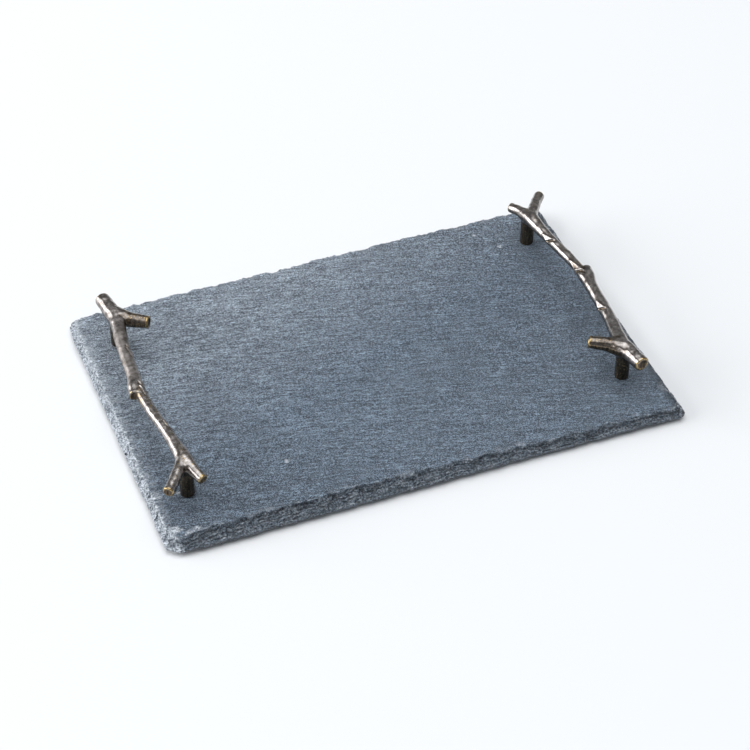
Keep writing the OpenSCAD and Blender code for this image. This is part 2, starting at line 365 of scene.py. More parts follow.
RUBBER_TONES = ((0.018, 0.018, 0.019, 1), (0.06, 0.06, 0.062, 1))
FLOOR_COLOUR = (0.86, 0.873, 0.89, 1)
ROOM_COLOUR = (0.97, 0.985, 1.0, 1)

TINY = 1e-6
JOIN_REACH = 1e-7
LATTICE_SIZE = 256
NOISE_GAIN = 1.5
FLOOR_REACH = 6.0


@functools.lru_cache(None)
def lattice(seed):
    """Random directions on a lattice, the same for the same seed."""
    return np.random.default_rng(seed).uniform(0, 2 * np.pi, (LATTICE_SIZE, LATTICE_SIZE))


def noise(x, y, seed):
    """Smooth gradient noise of about -1 to 1, with one lattice cell per unit."""
    angles = lattice(seed)
    x, y = np.broadcast_arrays(np.asarray(x, float), np.asarray(y, float))
    x0, y0 = np.floor(x).astype(int), np.floor(y).astype(int)
    fx, fy = x - x0, y - y0

    def corner(i, j):
        """Slope from one corner of the cell."""
        angle = angles[(x0 + i) % LATTICE_SIZE, (y0 + j) % LATTICE_SIZE]
        return np.cos(angle) * (fx - i) + np.sin(angle) * (fy - j)

    def ease(t):
        """Smooth run from 0 to 1."""
        return t * t * t * (t * (6 * t - 15) + 10)

    low = corner(0, 0) + (corner(1, 0) - corner(0, 0)) * ease(fx)
    high = corner(0, 1) + (corner(1, 1) - corner(0, 1)) * ease(fx)
    return NOISE_GAIN * (low + (high - low) * ease(fy))


def step(value, low, high):
    """0 below low, 1 above high, smooth between."""
    t = np.clip((value - low) / (high - low), 0, 1)
    return t * t * (3 - 2 * t)


def cells(along, shortest, longest, seed):
    """Splits an edge into cells of random length: each point's share of its cell, and two draws."""
    rng = np.random.default_rng(seed)
    ends = np.cumsum(rng.uniform(shortest, longest, int(along.max() / shortest) + 2))
    starts = np.concatenate([[0], ends[:-1]])
    cell = np.searchsorted(ends, along)
    share = (along - starts[cell]) / (ends[cell] - starts[cell])
    return share, rng.uniform(0, 1, len(ends))[cell], rng.uniform(-0.5, 0.5, len(ends))[cell]


def flakes(along, shortest, longest, seed):
    """Levels of 0 to 1 along an edge: flakes of random length, one after another, each at a slant."""
    share, level, slant = cells(along, shortest, longest, seed)
    return np.clip(level + slant * (share - 0.5), 0, 1)


def scallops(along, shortest, longest, seed):
    """Bites of up to 1 out of an edge, one after another, with sharp points between them."""
    share, depth, lean = cells(along, shortest, longest, seed)
    share = share ** (1 + lean)
    return (BITE_LEAST + BITE_SPREAD * depth) * (1 - (2 * share - 1) ** 2) ** BITE_ROUNDNESS


def for_bed(row, bed):
    """A row of values whose seed, the last of them, is a bed's own."""
    return (*row[:-1], row[-1] + bed)


def at_edge(value, half, band):
    """0 inside a band along an edge, 1 where it is in full."""
    start, full = band
    return step(value, half - start, half - full)


def make_piece(name, points, faces, material, node, shares):
    """A closed mesh that stands for a CAD node, with named shares per point for its material."""
    mesh = bpy.data.meshes.new(name)
    mesh.from_pydata((np.asarray(points) * MM).tolist(), [], faces)
    mesh.materials.append(material)
    for key, values in shares.items():
        mesh.attributes.new(key, "FLOAT", "POINT").data.foreach_set("value", np.asarray(values, np.float32))
    piece = bpy.data.objects.new(name, mesh)
    bpy.context.scene.collection.objects.link(piece)
    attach(piece, "root")
    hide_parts(node)
    return piece


# Slab

def outline():
    """Stations round the slab with its corners broken off, anticlockwise from the front left."""
    stretches = []
    ends = []
    for (sx, sy), cut in zip(CORNER_SIDES, CORNER_BREAKS):
        on_end = np.array((sx * HALF_LENGTH, sy * (HALF_DEPTH - cut)))
        on_long = np.array((sx * (HALF_LENGTH - cut), sy * HALF_DEPTH))
        first, last = (on_end, on_long) if sx == sy else (on_long, on_end)
        halfway = (first + last) / 2
        corner = np.array((sx * HALF_LENGTH, sy * HALF_DEPTH))
        ends += [first, halfway + CORNER_BULGE * (corner - halfway), last]
    for start, end in zip(ends, ends[1:] + ends[:1]):
        count = max(2, round(np.linalg.norm(end - start) / EDGE_PITCH))
        share = np.arange(count)[:, None] / count
        stretches.append(start + (end - start) * share)
    return np.vstack(stretches)


def edge_rings(base):
    """Rings of the dressed edge from the underside to the face: places, levels, pale shares, and shares of
    dark lines, cracked stone with painted crevice shade.
    """
    gap = np.linalg.norm(np.roll(base, -1, 0) - base, axis=1)
    along = np.concatenate([[0], np.cumsum(gap)[:-1]])
    turn = along / gap.sum() * 2 * np.pi
    reach = gap.sum() / (2 * np.pi)
    rng = np.random.default_rng(JITTER_SEED)

    def waver(pitch, seed):
        """Noise along the edge."""
        return noise(reach / pitch * np.cos(turn), reach / pitch * np.sin(turn), seed)

    front = np.where(base[:, 1] < 0, np.interp(base[:, 0] / HALF_LENGTH, FRONT_PLACES, FRONT_SHARES), 0)
    bevels = np.stack([np.full(len(base), END_BEVEL), LONG_BEVEL + FRONT_SCALLOP * front], 1)
    bite = END_BITE + FRONT_BITE * front
    lip = LIP_WAVER * (1 + waver(*LIP_WAVES)) + LIP_BITE * scallops(along, *LIP_BITES)
    lip += LIP_FLAKE * flakes(along, *LIP_FLAKES) ** 2
    lip *= 1 - RIGHT_TRIM * at_edge(base[:, 0], HALF_LENGTH, RIGHT_BAND)
    lip += FRONT_LIP * np.minimum(3 * front, 1)

    # Each bed has its own broken line, never outside the bed below it, and beds rise along each break
    share, draw, _ = cells(along, *BREAKS)
    slant = BED_SLANT * (LEAST_SLANT + draw) * (share - 0.5)
    lows, levels = [], []
    for bed, across in enumerate(BED_SHARES):
        line = scallops(along, *WIDE_BITES) + scallops(along, *for_bed(BED_BITES, bed))
        line += SMALL_BITE * scallops(along, *for_bed(SMALL_BITES, bed))
        chips = min(bed, 1) * CHIP_DEPTH * scallops(along, *for_bed(CHIPS, bed))
        broken = lip + across * bite * (line - line.mean()) + chips
        lows.append(across * bevels + np.maximum(broken, 0)[:, None])
        level = BED_LEVELS[bed] + slant + LEVEL_WAVER * waver(*for_bed(LEVEL_WAVES, bed))
        level = level + LEVEL_STEP * (flakes(along, *for_bed(BED_STEPS, bed)) - 0.5)
        levels.append(np.clip(level, *LEVEL_RANGE))
    lows = np.maximum.accumulate(lows, 0)
    levels = np.maximum.accumulate([*levels, np.full(len(base), BED_LEVELS[-1])], 0)

    # Rings up the edge: the foot, then each bed's lower and upper line, with a ledge between two beds
    least_lean, lean_waver, lean_share = BED_LEAN
    unmarked = 0 * turn
    insets, heights, pales, crack_and_shade_rings = [lows[0] + FOOT_INSET], [0 * levels[0]], [FOOT_TONE], [unmarked]
    for bed, low in enumerate(lows):
        lean = least_lean + lean_waver * np.abs(waver(*for_bed(LEAN_WAVES, bed))) + lean_share * bevels[:, 1]
        high = low + lean[:, None]
        insets += [low, high]
        heights += [levels[bed], levels[bed + 1]]
        pales += [LOW_TONE, HIGH_TONE]
        # Dark lines at each bed's lower line: cracked stone with painted crevice shade
        crack_and_shade_rings += [min(bed, 1) * step(flakes(along, *for_bed(CRACK_AND_SHADE_CELLS, bed)), *CRACK_AND_SHADE_EDGE), unmarked]
        if bed + 1 < len(lows):
            insets.append((high + lows[bed + 1]) / 2)
            heights.append(levels[bed + 1])
            pales.append(LEDGE_TONE)
            crack_and_shade_rings.append(unmarked)
    insets, heights = np.maximum.accumulate(insets, 0), np.array(heights)
    insets[2:] += rng.normal(0, INSET_JITTER, (len(insets) - 2, len(base), 1))
    heights[2:-1] += rng.normal(0, LEVEL_JITTER, (len(heights) - 3, len(base)))
    tones = np.array([flakes(along, *for_bed(PALE_FLAKES, ring)) for ring in range(len(pales))])
    pales = np.array(pales)[:, None] * (TONE_LEAST + TONE_SPREAD * tones)
    pales[:-1] *= 1 - FRONT_SHADE * at_edge(-base[:, 1], HALF_DEPTH, FRONT_BAND)
    places = base * (1 - insets / (HALF_LENGTH, HALF_DEPTH))
    return places, np.clip(heights, 0, 1), pales, np.array(crack_and_shade_rings)


def circle(place, radius, height):
    """Ring of points round a hole."""
    angle = np.arange(HOLE_SIDES) * 2 * np.pi / HOLE_SIDES
    return np.stack([
        place[0] + radius * np.cos(angle),
        place[1] + radius * np.sin(angle),
        np.full(HOLE_SIDES, height),
    ], 1)


def grid_inside(ring, pitch, margin, hole_radius, seed):
    """Jittered grid of points inside a ring, clear of the holes."""
    rng = np.random.default_rng(seed)
    low, high = ring.min(0) + margin, ring.max(0) - margin
    xs = np.arange(low[0], high[0], pitch[0])
    ys = np.arange(low[1], high[1], pitch[1])
    grid = np.stack(np.meshgrid(xs, ys, indexing="ij"), -1)
    grid[1::2, :, 1] += pitch[1] / 2
    grid = grid.reshape(-1, 2)
    grid = grid + rng.uniform(-GRID_JITTER, GRID_JITTER, grid.shape) * pitch
    front, back = ring[:, 1] < 0, ring[:, 1] > 0
    left, right = ring[:, 0] < 0, ring[:, 0] > 0

    def side(select, axis, value):
        """Where one side of the ring lies, at places along it."""
        order = np.argsort(ring[select][:, axis])
        return np.interp(value, ring[select][order, axis], ring[select][order, 1 - axis])

    long_side = np.abs(ring[:, 1]) > HALF_DEPTH - SIDE_BAND
    end_side = np.abs(ring[:, 0]) > HALF_LENGTH - SIDE_BAND
    x, y = grid.T
    inside = (y > side(front & long_side, 0, x) + margin) & (y < side(back & long_side, 0, x) - margin)
    inside &= (x > side(left & end_side, 1, y) + margin) & (x < side(right & end_side, 1, y) - margin)
    for px, py in POST_PLACES:
        inside &= np.hypot(x - px, y - py) > hole_radius + margin
    return grid[inside]


def outside(ring, places):
    """Whether places lie outside a closed ring."""
    (x, y), (next_x, next_y) = ring.T, np.roll(ring, -1, 0).T
    place_x, place_y = places[:, :1], places[:, 1:]
    rise = np.where(next_y == y, 1, next_y - y)
    crossed = (y > place_y) != (next_y > place_y)
    crossed &= place_x < x + (place_y - y) / rise * (next_x - x)
    return crossed.sum(1) % 2 == 0


def skin(ring, holes, points):
    """Triangles over a ring, round its holes, through loose points. Ring and holes come first."""
    loops = [ring, *holes]
    flat = np.vstack([*(loop[:, :2] for loop in loops), points])
    edges, start = [], 0
    for loop in loops:
        count = len(loop)
        edges += [(start + i, start + (i + 1) % count) for i in range(count)]
        start += count
    made = delaunay_2d_cdt([Vector(p) for p in flat], edges, [], 1, JOIN_REACH, True)
    order = np.array([source[0] for source in made[3]])
    faces = order[np.array(made[2])]
    middles = flat[faces].mean(1)
    keep = np.ones(len(faces), bool)
    on_ring = (faces < len(ring)).all(1)
    keep[on_ring] = ~outside(ring, middles[on_ring])
    for hole in holes:
        centre = hole[:, :2].mean(0)
        keep &= np.hypot(*(middles - centre).T) > np.hypot(*(hole[0, :2] - centre))
    return flat, faces[keep]


def layer(x, y, kind):
    """One layer of the face's relief."""
    height, pitch_x, pitch_y, seed = kind
    return height * noise(x / pitch_x, y / pitch_y, seed)


def riven(x, y):
    """Height of the riven face: long ripples along the grain, swells and fine pits."""
    along = x * math.cos(GRAIN_ANGLE) + y * math.sin(GRAIN_ANGLE)
    across = y * math.cos(GRAIN_ANGLE) - x * math.sin(GRAIN_ANGLE) + GRAIN_BEND * along ** 2
    across = across + layer(along, across, GRAIN_WANDER)
    left = step(-x, *RIPPLE_FADE)
    ripple = sum(layer(along, across, kind) for kind in RIPPLES)
    swell = layer(along, across, GRAIN_SWELL) + layer(x, y, WIDE_SWELL)
    return (RIPPLE_LEAST + RIPPLE_SPREAD * left) * ripple + swell + layer(x, y, PITS)


def near_posts(x, y):
    """1 on the drilled spots, 0 away from them."""
    reach = np.min([np.hypot(x - px, y - py) for px, py in POST_PLACES], 0)
    return 1 - step(reach, *POST_SPOT)


def spalls(x, y, ring):
    """Depth of the shallow flakes knocked off the face along the dressed edge."""
    rng = np.random.default_rng(SPALL_SEED)
    depth = np.zeros(len(x))
    for k in rng.integers(0, len(ring), SPALL_COUNT):
        radius = rng.uniform(*SPALL_RADII)
        deepest = rng.uniform(*SPALL_DEPTHS)
        bowl = 1 - np.hypot(x - ring[k, 0], y - ring[k, 1]) / radius
        depth = np.maximum(depth, deepest * step(bowl, 0, 0.5))
    return depth


def bruises(x, y):
    """Pale shares of the small bruises on the face."""
    pale = np.zeros(len(x))
    for px, py, radius in BRUISES:
        pale = np.maximum(pale, step(1 - np.hypot(x - px, y - py) / radius, *BRUISE_RIM))
    return pale


def slate_mesh():
    """Points and faces of the slab, how many faces its dressed edge has, and its shares."""
    places, levels, edge_pale, edge_crack_and_shade = edge_rings(outline())
    rings, count = levels.shape
    bottom, top = SLATE_LOW[2], SLATE_HIGH[2]
    ceiling = bottom + RECESS_DEPTH
    top_holes = [circle(p, SCREW_HOLE_RADIUS, top) for p in POST_PLACES]
    recesses = [circle(p, RECESS_RADIUS, bottom) for p in POST_PLACES]

    # Face, and the edge up to it
    inner = grid_inside(places[-1], SKIN_PITCH, SKIN_MARGIN, SCREW_HOLE_RADIUS, SKIN_SEED)
    flat, triangles = skin(places[-1], top_holes, inner)
    x, y = flat.T
    scar = spalls(x, y, places[-1])
    bruise = bruises(x, y)
    height = np.minimum(top + (riven(x, y) - FACE_DROP) * (1 - near_posts(x, y)) - scar, top)
    rise = bottom + levels * (height[:count] - bottom)
    points = [np.dstack([places, rise]).reshape(-1, 3)]
    low = np.arange((rings - 1) * count)
    beside = low - low % count + (low + 1) % count
    faces = np.stack([low, beside, beside + count, low + count], 1).tolist()
    edge_faces = len(faces)
    edge_points = rings * count
    total = edge_points

    def add(new):
        """Adds points to the slab, and gives their numbers."""
        nonlocal total
        points.append(new)
        total += len(new)
        return np.arange(total - len(new), total)

    hole_ids = [add(h) for h in top_holes]
    inner_ids = add(np.column_stack([inner, height[-len(inner):]]))
    ids = np.concatenate([np.arange(edge_points - count, edge_points), *hole_ids, inner_ids])
    faces += ids[triangles].tolist()

    # Underside, and the recessed holes between the two
    under = grid_inside(places[0], UNDERSIDE_PITCH, UNDERSIDE_MARGIN, RECESS_RADIUS, UNDERSIDE_SEED)
    flat, triangles = skin(places[0], recesses, under)
    recess_ids = [add(r) for r in recesses]
    hollow = FACE_DROP + riven(-under[:, 0], under[:, 1])
    under_ids = add(np.column_stack([under, bottom + np.clip(hollow, 0, 2 * FACE_DROP)]))
    ids = np.concatenate([np.arange(count), *recess_ids, under_ids])
    faces += ids[triangles][:, ::-1].tolist()
    for place, mouth, top_ids in zip(POST_PLACES, recess_ids, hole_ids):
        wall = add(circle(place, RECESS_RADIUS, ceiling))
        throat = add(circle(place, SCREW_HOLE_RADIUS, ceiling))
        for low, high in ((mouth, wall), (wall, throat), (throat, top_ids)):
            next_low, next_high = np.roll(low, -1), np.roll(high, -1)
            faces += np.stack([low, high, next_high, next_low], 1).tolist()

    points = np.vstack(points)
    pale, raw, crack_and_shade = np.zeros((3, len(points)))
    raw[:edge_points - count] = 1
    left_end = at_edge(-points[:, 0], HALF_LENGTH, LEFT_BAND)
    crack_and_shade[:edge_points] = edge_crack_and_shade.ravel() * (1 - LEFT_CRACK_AND_SHADE_LOSS * left_end[:edge_points])
    pale[:edge_points] = edge_pale.ravel() + LEFT_TONE * left_end[:edge_points]
    spalled, bruised = scar[-len(inner):], bruise[-len(inner):]
    pale[inner_ids] = LEFT_FACE_TONE * left_end[inner_ids] + SPALL_TONE * spalled + bruised
    return points, faces, edge_faces, {"pale": np.clip(pale, 0, 1), "raw": raw, "crack_and_shade": crack_and_shade}


# Twig handles

class Limb:
    """A tapering branch along a smooth row of places, cut off blunt and a little dished at its free ends."""

    def __init__(self, places, free_start, free_end):
        """Runs a smooth row through the places, and on past each free end."""
        places = np.array(places)
        padded = np.vstack([2 * places[0] - places[1], places, 2 * places[-1] - places[-2]])
        share = np.arange(LIMB_STEPS)[:, None] / LIMB_STEPS
        rows = []
        for a, b, c, d in zip(padded, padded[1:], padded[2:], padded[3:]):
            square = 2 * a - 5 * b + 4 * c - d
            cube = 3 * b - a - 3 * c + d
            rows.append(b + 0.5 * ((c - a) * share + square * share ** 2 + cube * share ** 3))
        rows = np.vstack([*rows, places[-1]])
        self.tips = []
        if free_start:
            rows = np.vstack([self.cut(rows[0], rows[1]), rows])
        if free_end:
            rows = np.vstack([rows, self.cut(rows[-1], rows[-2])])
        self.row, self.radius = rows[:, :3], rows[:, 3] / 2

    def cut(self, last, before):
        """Runs the limb on past its last place, and notes where it is cut off."""
        way = (last - before)[:3] / np.linalg.norm((last - before)[:3])
        self.tips.append((last[:3] + way * TIP_SHARE * last[3], way, last[3] / 2))
        return np.append(last[:3] + way * last[3], last[3])

    def distance(self, points):
        """Distance outside the limb and the way out of it, per point."""
        best = np.full(len(points), np.inf)
        way = np.zeros((len(points), 3))
        for start, end, r0, r1 in zip(self.row, self.row[1:], self.radius, self.radius[1:]):
            run = end - start
            share = np.clip((points - start) @ run / (run @ run), 0, 1)
            offset = points - start - share[:, None] * run
            length = np.linalg.norm(offset, axis=1)
            outside = length - r0 - (r1 - r0) * share
            nearer = outside < best
            best[nearer] = outside[nearer]
            way[nearer] = offset[nearer] / np.maximum(length[nearer], TINY)[:, None]
        for place, out, radius in self.tips:
            beyond = (points - place) @ out
            aside = np.linalg.norm(points - place - beyond[:, None] * out, axis=1) / radius
            beyond = beyond + TIP_DISH * (1 - step(aside, *DISH_EDGE))
            past = TIP_SHARPNESS * (beyond - best)
            past[aside > 2] = -np.inf
            share = np.exp(-np.logaddexp(0, -past))[:, None]
            best = best + np.logaddexp(0, past) / TIP_SHARPNESS
            way = (1 - share) * way + share * out
        return best, way


def blend(parts, sharpness):
    """Union of distances that runs smoothly from one part into the next."""
    outside = np.array([part[0] for part in parts])
    low = outside.min(0)
    weight = np.exp(-sharpness * (outside - low))
    total = weight.sum(0)
    way = sum(w[:, None] * part[1] for w, part in zip(weight, parts)) / total[:, None]
    return low - np.log(total) / sharpness, way


def post(points, side):
    """Distance outside a straight post with its lower edge broken."""
    offset = points[:, :2] - (0, side * POST_HALF_PITCH)
    reach = np.hypot(*offset.T)
    across = np.column_stack([offset / np.maximum(reach, TINY)[:, None], np.zeros(len(points))])
    height = points[:, 2]
    faces = np.array([
        reach - POST_RADIUS,
        -height,
        height - POST_TOP,
        (reach - POST_RADIUS + POST_CHAMFER - height) / math.sqrt(2),
    ])
    down = np.array((0.0, 0.0, -1.0))
    ways = np.array([across, across * 0 + down, across * 0 - down, (across + down) / math.sqrt(2)])
    face = faces.argmax(0)
    pick = np.arange(len(points))
    return faces[face, pick], ways[face, pick]


def tapped_hole(points, side):
    """Distance inside the wall of a post's tapped hole, with the way towards its middle."""
    offset = points[:, :2] - (0, side * POST_HALF_PITCH)
    reach = np.hypot(*offset.T)
    inward = np.column_stack([-offset / np.maximum(reach, TINY)[:, None], np.zeros(len(points))])
    wall = TAPPED_RADIUS - reach
    roof = TAPPED_DEPTH - points[:, 2]
    roofed = roof < wall
    inward[roofed] = (0, 0, -1)
    return np.where(roofed, roof, wall), inward


def grown(points, across, along, seed):
    """Noise drawn out along a limb, on its sides and on its top."""
    x, y, z = points.T
    return noise(x / across, y / along, seed) + noise(z / across + BARK_OFFSET, y / along, seed + 1)


def bark(points):
    """Height of the twig's skin over its limbs: bud scars, ridges, lumps and swells."""
    x, y, z = points.T
    middle = np.array(STEM)
    centre_x = np.interp(y, middle[:, 1], middle[:, 0])
    centre_z = np.interp(y, middle[:, 1], middle[:, 2])
    facing = np.arctan2(z - centre_z, x - centre_x)
    on_stem = step(-np.hypot(z - centre_z, x - centre_x), *SCAR_REACH)
    height = np.zeros(len(points))
    for place, length, half_width, towards in SCARS:
        lean = facing - math.radians(towards)
        turned = np.where(lean > 0, lean, -SCAR_UNDERCUT * lean)
        share = np.clip((y - place - SCAR_LEAN * lean) / length + 0.5, 0, SCAR_END)
        width = math.radians(half_width) * np.minimum(share, 1)
        facet = SCAR_RADIUS * (1 / np.cos(np.minimum(turned, width)) - 1)
        facet += SCAR_HEIGHT * step(share, *SCAR_RISE) * np.maximum(1 - share, 0)
        facet *= 1 - step(share, *SCAR_STEP)
        facet -= SCAR_NOTCH * step(share, *NOTCH_START) * (1 - step(share, *NOTCH_END))
        height += facet * on_stem * (1 - step(turned, width, width + SCAR_EDGE))
    ridges = grown(points, *BARK_RIDGES)
    lumps = grown(points, *BARK_LUMPS)
    across, along, seed = BARK_SWELLS
    aside, further = SWELL_OFFSETS
    swells = noise(x / across + aside, y / along, seed) + noise(z / across, y / along + further, seed + 1)
    lump_height = LUMP_HEIGHT + END_LUMP_HEIGHT * step(np.abs(y), *ROUGH_ENDS)
    skin_height = RIDGE_HEIGHT * ridges + lump_height * lumps + SWELL_HEIGHT * swells
    return height + step(z, *TWIG_BASE) * skin_height


def casting(points, limbs, knot):
    """Distance outside the whole casting, and the way out of it."""
    parts = [limb.distance(points) for limb in limbs]
    parts += [post(points, side) for side in (-1, 1)]
    outside, way = blend(parts, LIMB_SHARPNESS)
    outside, way = blend([(outside, way), knot.distance(points)], KNOT_SHARPNESS)
    outside = outside - bark(points)
    for side in (-1, 1):
        hollow, inward = tapped_hole(points, side)
        inside_hole = (hollow > outside) & (points[:, 2] < TAPPED_DEPTH + 1)
        outside = np.where(inside_hole, hollow, outside)
        way[inside_hole] = inward[inside_hole]
    return outside, way


def blank(node, voxel):
    """Evenly meshed copy of a handle's solid, in the twig's own frame."""
    copy = bpy.data.objects.new("blank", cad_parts[node].data.copy())
    bpy.context.scene.collection.objects.link(copy)
    modifier = copy.modifiers.new("even", "REMESH")
    modifier.mode = "VOXEL"
    modifier.voxel_size = voxel * MM
    mesh = copy.evaluated_get(bpy.context.evaluated_depsgraph_get()).to_mesh()
    points = np.empty(3 * len(mesh.vertices))
    corners = np.empty(4 * len(mesh.polygons), int)
    mesh.vertices.foreach_get("co", points)
    mesh.loops.foreach_get("vertex_index", corners)
    bpy.data.objects.remove(copy)
    x, y, _ = HANDLE_PLACES["left"]
    return points.reshape(-1, 3) / MM - (x, y, SLATE_HIGH[2]), corners.reshape(-1, 4)


def neighbours_mean(points, edges, degree):
    """Mean of each point's neighbours."""
    total = np.zeros_like(points)
    for a, b in (edges, edges[::-1]):
        for axis in range(points.shape[1]):
            total[:, axis] += np.bincount(a, points[b, axis], len(points))
    return total / degree[:, None]


def twig_mesh():
    """Points and faces of the casting in its own frame, and its proud, disc, rim and upright shares."""
    points, faces = blank("handle_left", CASTING_VOXEL)
    limbs = [Limb(STEM, True, True), Limb(PRONG, False, True), Limb(BRANCH, False, True)]
    knot = Limb(KNOT, False, True)
    pairs = np.vstack([faces[:, [i, (i + 1) % 4]] for i in range(4)])
    edges = np.unique(np.sort(pairs, 1), axis=0).T
    degree = np.bincount(edges.ravel(), minlength=len(points))
    for turn in range(FIT_TURNS):
        outside, way = casting(points, limbs, knot)
        steepness = np.maximum((way ** 2).sum(1), LEAST_STEEPNESS)
        move = np.clip(outside, -LONGEST_MOVE, LONGEST_MOVE) / steepness
        points = points - move[:, None] * way
        if turn < EVEN_TURNS:
            drift = neighbours_mean(points, edges, degree) - points
            drift -= (drift * way).sum(1)[:, None] * way
            points = points + EVEN_SHARE * drift
    relaxed = points
    for _ in range(WEAR_TURNS):
        relaxed = neighbours_mean(relaxed, edges, degree)
    worn = ((points - relaxed) * way).sum(1)
    tips = [tip for limb in [*limbs, knot] for tip in limb.tips]
    disc, rim = np.zeros((2, len(points)))
    for place, out, radius in tips:
        beyond = (points - place) @ out
        aside = np.linalg.norm(points - place - beyond[:, None] * out, axis=1) / radius
        near = step(beyond, *TIP_REACH) * (1 - step(aside, *TIP_SIDE))
        disc = np.maximum(disc, near * (1 - step(aside, *TIP_DISC)))
        rim = np.maximum(rim, near * step(aside, *TIP_RIM))
    return points, faces, worn, disc, rim, way[:, 2]


# Materials

def new_material(name):
    """A node material, its tree and its Principled shader."""
    material = bpy.data.materials.new(name)
    material.use_nodes = True
    return material, material.node_tree, material.node_tree.nodes["Principled BSDF"]


def add_node(tree, kind, inputs=(), **settings):
    """Adds a node, with values or links for its inputs."""
    node = tree.nodes.new(kind)
    for key, value in settings.items():
        setattr(node, key, value)
    for key, value in dict(inputs).items():
        if isinstance(value, bpy.types.NodeSocket):
            tree.links.new(value, node.inputs[key])
        else:
            node.inputs[key].default_value = value
    return node


def noise_node(tree, where, pitch, detail, roughness):
    """Noise with features of about the given pitch."""
    inputs = {"Vector": where, "Scale": 1 / (pitch * MM), "Detail": detail, "Roughness": roughness}
    return add_node(tree, "ShaderNodeTexNoise", inputs).outputs["Fac"]


def spread(tree, value, low, high, to_low=0.0, to_high=1.0):
    """Maps a value from low and high to two others, and holds it between them."""
    inputs = {"Value": value, "From Min": low, "From Max": high, "To Min": to_low, "To Max": to_high}
    return add_node(tree, "ShaderNodeMapRange", inputs).outputs["Result"]


def sums(tree, operation, first, second):
    """Sum, difference, product or quotient of two values."""
    return add_node(tree, "ShaderNodeMath", {0: first, 1: second}, operation=operation).outputs["Value"]


def mix(tree, share, first, second):
    """Mixes two colours."""
    node = add_node(tree, "ShaderNodeMix", data_type="RGBA")
    for key, value in (("Factor_Float", share), ("A_Color", first), ("B_Color", second)):
        socket = next(s for s in node.inputs if s.identifier == key)
        if isinstance(value, bpy.types.NodeSocket):
            tree.links.new(value, socket)
        else:
            socket.default_value = value
    return next(s for s in node.outputs if s.identifier == "Result_Color")


def bump(tree, height, distance, normal=None):
    """Normal of a fine relief, over another one where that is given."""
    inputs = {"Height": height, "Distance": distance * MM, "Strength": 1.0}
    if normal:
        inputs["Normal"] = normal
    return add_node(tree, "ShaderNodeBump", inputs).outputs["Normal"]


def attribute(tree, name):
    """A share that the mesh carries per point."""
    return add_node(tree, "ShaderNodeAttribute", attribute_name=name).outputs["Fac"]


